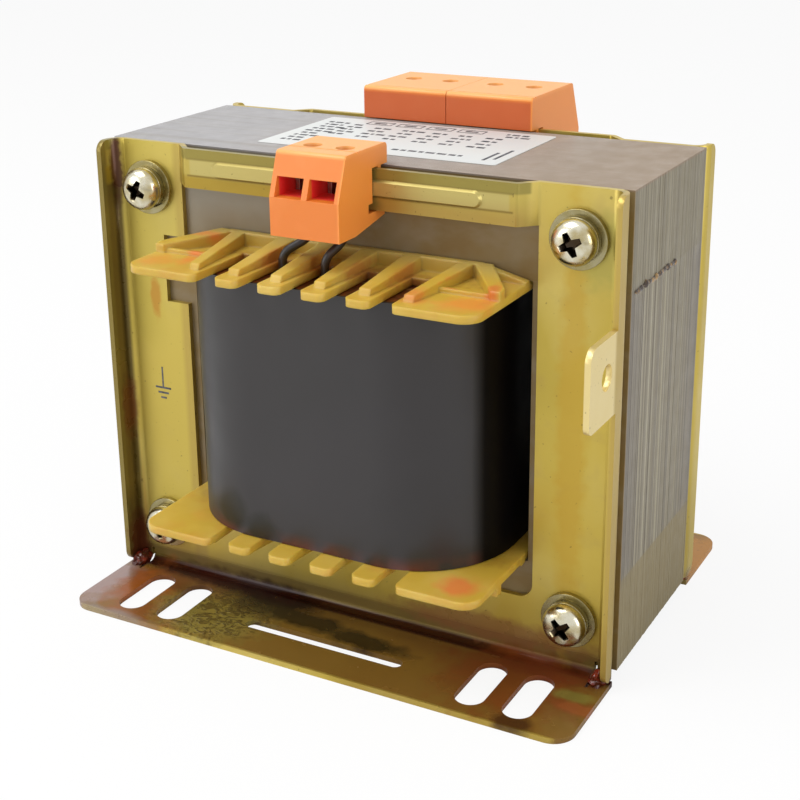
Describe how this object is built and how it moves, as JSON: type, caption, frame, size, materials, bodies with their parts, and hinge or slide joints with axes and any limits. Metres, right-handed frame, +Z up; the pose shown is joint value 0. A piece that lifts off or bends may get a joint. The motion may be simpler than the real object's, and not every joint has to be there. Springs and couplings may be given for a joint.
{
  "type": "laminated chassis transformer",
  "caption": "Single-phase control transformer with an E-I core, a comb bobbin, pressed zinc frames with slotted feet and orange terminal blocks.",
  "frame": {"origin": "middle of the bounding box at the plane that the feet stand on", "axes": "+X to the right and +Z up; the front, with the single small terminal block, faces -Y"},
  "size_m": [0.1502, 0.121, 0.1374],
  "materials": {
    "zinc_sheet": "yellow-passivated zinc",
    "core_steel": "varnished silicon steel",
    "bobbin_nylon": "natural nylon, varnish stained",
    "copper_wire": "enamelled copper",
    "tape": "polyester tape",
    "black_wrap": "varnished black insulation",
    "zinc_fastener": "pale zinc plating",
    "orange_plastic": "moulded polyamide",
    "clamp_metal": "zinc plated",
    "lead_sleeve": "black sleeve",
    "label_paper": "printed film"
  },
  "bodies": {
    "root": {"front_frame": "zinc_sheet", "rear_frame": "zinc_sheet", "e_sheets_legs_up": "core_steel", "e_sheets_legs_down": "core_steel", "i_sheets_top": "core_steel", "i_sheets_bottom": "core_steel", "bobbin": "bobbin_nylon", "primary_winding": "copper_wire", "secondary_winding": "copper_wire", "winding_insulation": "tape", "coil_wrap": "black_wrap", "clamp_bolts": "zinc_fastener", "front_flat_washers": "zinc_fastener", "spring_washers": "zinc_fastener", "rear_flat_washers": "zinc_fastener", "hex_nuts": "zinc_fastener", "front_terminal_housing": "orange_plastic", "rear_left_terminal_housing": "orange_plastic", "rear_right_terminal_housing": "orange_plastic", "front_terminal_clamps": "clamp_metal", "rear_left_terminal_clamps": "clamp_metal", "rear_right_terminal_clamps": "clamp_metal", "front_terminal_screws": "clamp_metal", "rear_left_terminal_screws": "clamp_metal", "rear_right_terminal_screws": "clamp_metal", "front_lead_left": "lead_sleeve", "front_lead_right": "lead_sleeve", "rear_lead_outer_left": "lead_sleeve", "rear_lead_inner_left": "lead_sleeve", "rear_lead_inner_right": "lead_sleeve", "rear_lead_outer_right": "lead_sleeve", "rating_label": "label_paper"}
  },
  "joints": []
}
